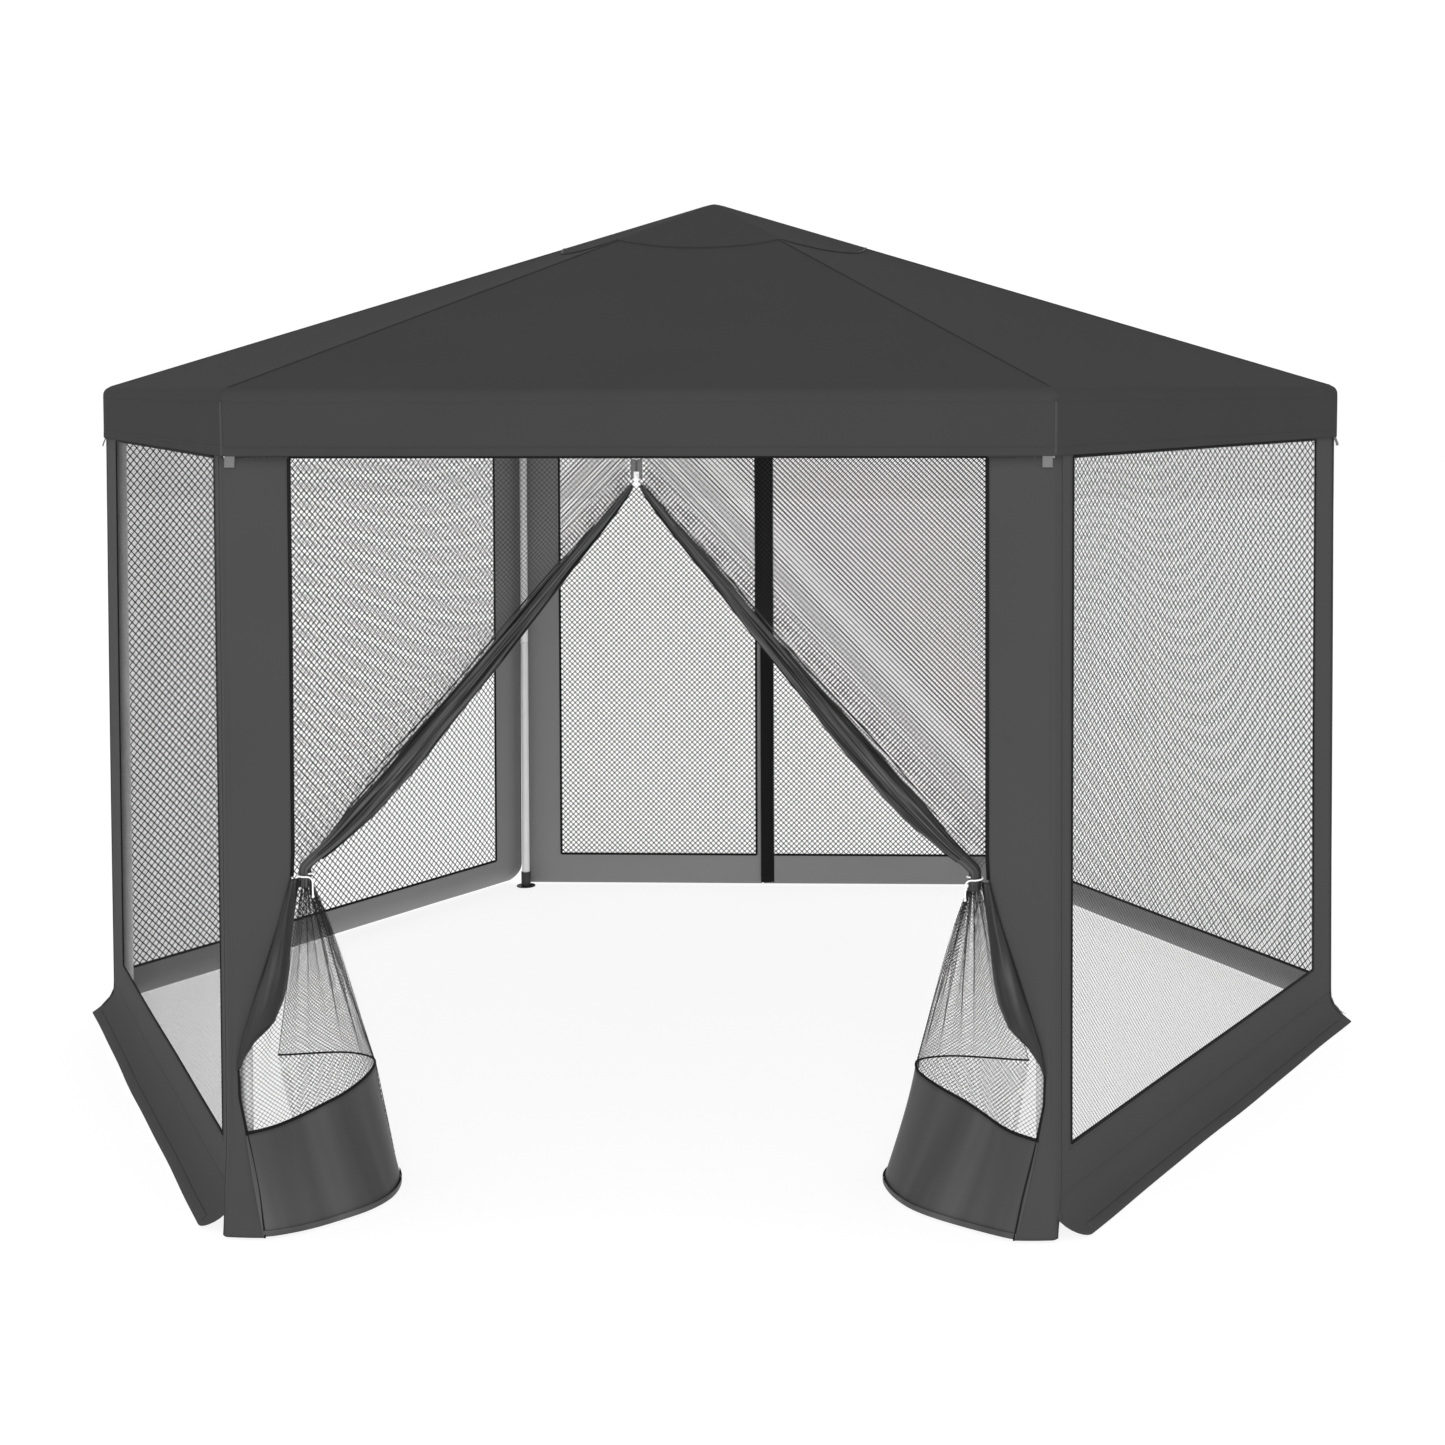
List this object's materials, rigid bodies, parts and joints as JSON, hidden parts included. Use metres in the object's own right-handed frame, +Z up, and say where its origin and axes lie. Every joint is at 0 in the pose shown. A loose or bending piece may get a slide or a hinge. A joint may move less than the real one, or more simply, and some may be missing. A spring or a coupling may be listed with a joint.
{
  "type": "screen house",
  "caption": "Hexagonal camping screen house: steel tube frame, pitched fabric canopy, mesh walls with flared skirts, tied-back front doorway and zipped back door.",
  "frame": {"origin": "centre of the floor, on the ground plane under the feet", "axes": "+Z up, -Y out of the front doorway, +X along the widest corner-to-corner line"},
  "size_m": [4.1022, 3.515, 2.635],
  "materials": {
    "grey_cloth": "coated woven polyester, matt",
    "mesh_wall": "polyester netting with solid woven borders",
    "grey_webbing": "woven webbing",
    "steel_tube": "light grey powder coat, satin",
    "black_plastic": "moulded, fine texture",
    "zip_metal": "die cast, satin",
    "white_plastic": "moulded",
    "white_cord": "braided polyester cord"
  },
  "bodies": {
    "root": {"foot_right": "black_plastic", "leg_lower_right": "steel_tube", "leg_upper_right": "steel_tube", "corner_connector_right": "black_plastic", "rafter_right": "steel_tube", "foot_back_right": "black_plastic", "leg_lower_back_right": "steel_tube", "leg_upper_back_right": "steel_tube", "corner_connector_back_right": "black_plastic", "rafter_back_right": "steel_tube", "foot_back_left": "black_plastic", "leg_lower_back_left": "steel_tube", "leg_upper_back_left": "steel_tube", "corner_connector_back_left": "black_plastic", "rafter_back_left": "steel_tube", "foot_left": "black_plastic", "leg_lower_left": "steel_tube", "leg_upper_left": "steel_tube", "corner_connector_left": "black_plastic", "rafter_left": "steel_tube", "foot_front_left": "black_plastic", "leg_lower_front_left": "steel_tube", "leg_upper_front_left": "steel_tube", "corner_connector_front_left": "black_plastic", "rafter_front_left": "steel_tube", "foot_front_right": "black_plastic", "leg_lower_front_right": "steel_tube", "leg_upper_front_right": "steel_tube", "corner_connector_front_right": "black_plastic", "rafter_front_right": "steel_tube", "eave_beam_right_back": "steel_tube", "eave_beam_back": "steel_tube", "eave_beam_left_back": "steel_tube", "eave_beam_left_front": "steel_tube", "eave_beam_front": "steel_tube", "eave_beam_right_front": "steel_tube", "roof_hub": "black_plastic", "roof_canopy": "grey_cloth", "wall_back_right": "mesh_wall", "wall_back_left": "mesh_wall", "wall_front_left": "mesh_wall", "wall_front_right": "mesh_wall", "front_wall_frame": "grey_cloth", "front_door_leaf_left": "mesh_wall", "front_door_leaf_right": "mesh_wall", "back_door_leaf_left": "mesh_wall", "back_door_leaf_right": "mesh_wall", "tie_cord_left": "white_cord", "tie_cord_right": "white_cord", "corner_strap_right": "grey_webbing", "corner_strap_back_right": "grey_webbing", "corner_strap_back_left": "grey_webbing", "corner_strap_left": "grey_webbing", "corner_strap_front_left": "grey_webbing", "corner_strap_front_right": "grey_webbing"},
    "front_slider": {"front_zip_slider": "zip_metal"},
    "front_pull": {"front_zip_pull": "white_plastic"},
    "back_slider": {"back_zip_slider": "zip_metal"},
    "back_pull": {"back_zip_pull": "white_plastic"}
  },
  "joints": [
    {"name": "front_zip_slide", "type": "slide", "parent": "root", "child": "front_slider", "axis": [0, 0, 1], "range_m": [0, 0.03]},
    {"name": "front_pull_swing", "type": "hinge", "parent": "front_slider", "child": "front_pull", "pos_m": [0, -1.73042, 1.838], "axis": [-1, 0, 0], "range_deg": [0, 150]},
    {"name": "back_zip_slide", "type": "slide", "parent": "root", "child": "back_slider", "axis": [0, 0, 1], "range_m": [0, 1.8]},
    {"name": "back_pull_swing", "type": "hinge", "parent": "back_slider", "child": "back_pull", "pos_m": [0, 1.73042, 0.06], "axis": [1, 0, 0], "range_deg": [0, 150]}
  ]
}
